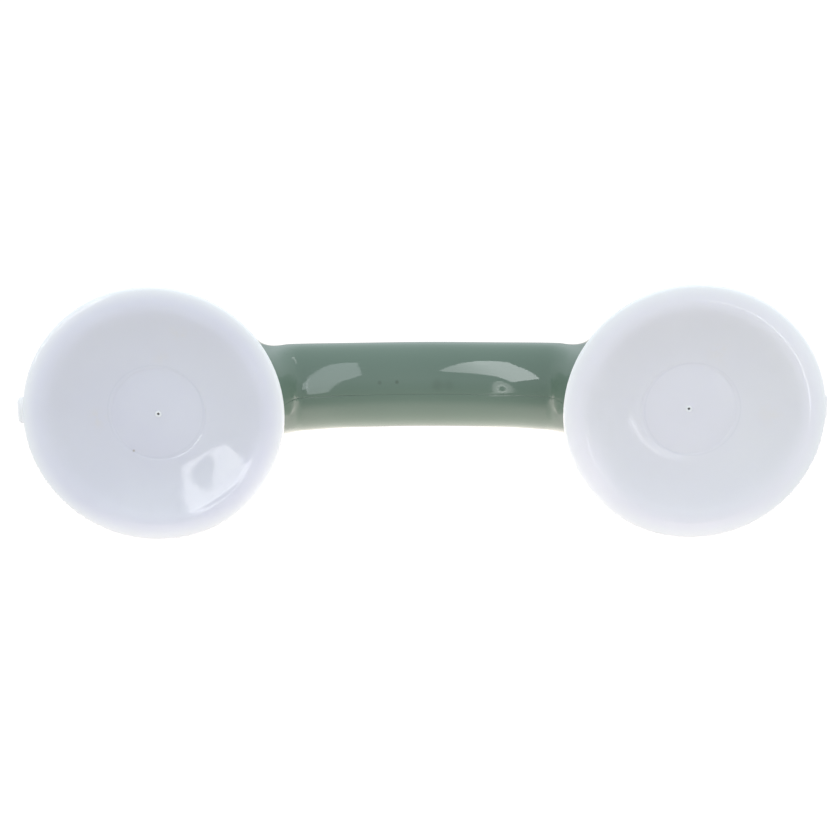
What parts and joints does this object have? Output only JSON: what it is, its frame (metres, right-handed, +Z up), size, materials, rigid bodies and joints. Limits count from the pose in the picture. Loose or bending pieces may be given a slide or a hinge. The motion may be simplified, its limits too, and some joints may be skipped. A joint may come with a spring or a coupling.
{
  "type": "suction grab bar",
  "caption": "Short arched grab bar held to a smooth wall by a rubber suction cup at each end, each pulled tight by a flip lever on a cam.",
  "frame": {"origin": "on the wall plane, midway between the axes of the two suction cups", "axes": "+X along the bar, +Y into the wall (the way the cups' sealing faces look), +Z up the wall, across the bar"},
  "size_m": [0.294, 0.0582, 0.094],
  "materials": {
    "sage_abs": "glossy moulded sage green ABS",
    "cup_rubber": "milky white soft rubber, smooth gloss on the sealing side",
    "white_abs": "white moulded ABS, satin gloss",
    "white_pom": "white moulded acetal",
    "steel": "zinc plated steel"
  },
  "bodies": {
    "root": {"handle_shell_upper": "sage_abs", "handle_shell_lower": "sage_abs", "suction_cup_left": "cup_rubber", "pressure_plate_left": "white_abs", "cam_plate_left": "steel", "return_spring_left": "steel", "screw_1_left": "steel", "screw_2_left": "steel", "screw_3_left": "steel", "screw_4_left": "steel", "suction_cup_right": "cup_rubber", "pressure_plate_right": "white_abs", "cam_plate_right": "steel", "return_spring_right": "steel", "screw_1_right": "steel", "screw_2_right": "steel", "screw_3_right": "steel", "screw_4_right": "steel"},
    "left_stem": {"stem_left": "white_pom", "lever_pin_left": "steel"},
    "left_lever": {"lever_left": "white_abs"},
    "right_stem": {"stem_right": "white_pom", "lever_pin_right": "steel"},
    "right_lever": {"lever_right": "white_abs"}
  },
  "joints": [
    {"name": "left_stem_slide", "type": "slide", "parent": "root", "child": "left_stem", "axis": [0, 1, 0], "range_m": [0, 0.0042], "deforming": ["suction_cup_left", "return_spring_left"]},
    {"name": "left_lever_flip", "type": "hinge", "parent": "left_stem", "child": "left_lever", "pos_m": [-0.097, -0.0316, 0], "axis": [0, 0, 1], "range_deg": [0, 90]},
    {"name": "right_stem_slide", "type": "slide", "parent": "root", "child": "right_stem", "axis": [0, 1, 0], "range_m": [0, 0.0042], "deforming": ["suction_cup_right", "return_spring_right"]},
    {"name": "right_lever_flip", "type": "hinge", "parent": "right_stem", "child": "right_lever", "pos_m": [0.097, -0.0316, 0], "axis": [0, 0, -1], "range_deg": [0, 90]}
  ],
  "couplings": [
    {"joint": "left_stem_slide", "follows": "left_lever_flip", "m_per_rad": 0.0026738},
    {"joint": "right_stem_slide", "follows": "right_lever_flip", "m_per_rad": 0.0026738}
  ]
}
